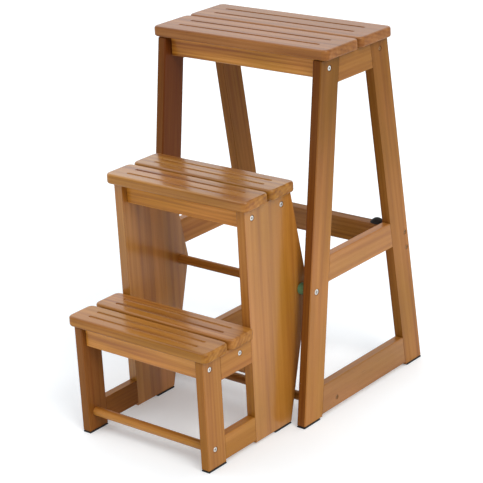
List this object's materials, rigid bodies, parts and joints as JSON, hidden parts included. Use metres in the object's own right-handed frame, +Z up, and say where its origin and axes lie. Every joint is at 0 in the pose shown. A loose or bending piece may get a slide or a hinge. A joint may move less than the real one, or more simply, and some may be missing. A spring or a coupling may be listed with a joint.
{
  "type": "folding step ladder",
  "caption": "Wooden step ladder: an A-sided stool whose seat is the top tread, with a lower unit of treads that swings up and folds inside it.",
  "frame": {"origin": "on the floor, under the middle of the open ladder's length and width", "axes": "+Z up; +X to the climber's right, along the treads; +Y the way the climber faces, so the lowest tread is at -Y"},
  "size_m": [0.372, 0.5717, 0.64],
  "materials": {
    "wood": "honey-brown stain under satin lacquer",
    "black_rubber": "matt",
    "nylon": "moulded, slightly translucent grey-green",
    "steel": "zinc plated"
  },
  "bodies": {
    "stool": {"left_bottom_rail": "wood", "left_bumper": "black_rubber", "left_front_foot_pad": "black_rubber", "left_front_leg": "wood", "left_middle_rail": "wood", "left_pivot_spacer": "nylon", "left_rear_foot_pad": "black_rubber", "left_rear_leg": "wood", "left_seat_apron_screw": "steel", "left_top_rail": "wood", "low_dowel": "wood", "rear_stretcher": "wood", "right_bottom_rail": "wood", "right_bumper": "black_rubber", "right_front_foot_pad": "black_rubber", "right_front_leg": "wood", "right_middle_rail": "wood", "right_pivot_spacer": "nylon", "right_rear_foot_pad": "black_rubber", "right_rear_leg": "wood", "right_seat_apron_screw": "steel", "right_top_rail": "wood", "seat_front_apron": "wood", "seat_front_board": "wood", "seat_rear_apron": "wood", "seat_rear_board": "wood"},
    "lower_unit": {"front_dowel": "wood", "left_lower_tread_front_screw": "steel", "left_lower_tread_rear_screw": "steel", "left_middle_tread_front_screw": "steel", "left_middle_tread_rear_screw": "steel", "left_pivot_bolt": "steel", "left_side_board": "wood", "left_step_bottom_rail": "wood", "left_step_front_pad": "black_rubber", "left_step_leg": "wood", "left_step_rear_pad": "black_rubber", "left_step_top_rail": "wood", "lower_back_rail": "wood", "lower_tread_front_apron": "wood", "lower_tread_front_board": "wood", "lower_tread_rear_apron": "wood", "lower_tread_rear_board": "wood", "middle_tread_front_apron": "wood", "middle_tread_front_board": "wood", "middle_tread_rear_apron": "wood", "middle_tread_rear_board": "wood", "pivot_dowel": "wood", "right_lower_tread_front_screw": "steel", "right_lower_tread_rear_screw": "steel", "right_middle_tread_front_screw": "steel", "right_middle_tread_rear_screw": "steel", "right_pivot_bolt": "steel", "right_side_board": "wood", "right_step_bottom_rail": "wood", "right_step_front_pad": "black_rubber", "right_step_leg": "wood", "right_step_rear_pad": "black_rubber", "right_step_top_rail": "wood"}
  },
  "joints": [
    {"name": "fold", "type": "hinge", "parent": "stool", "child": "lower_unit", "pos_m": [0, -0.021, 0.2344], "axis": [-1, 0, 0], "range_deg": [0, 175]}
  ]
}
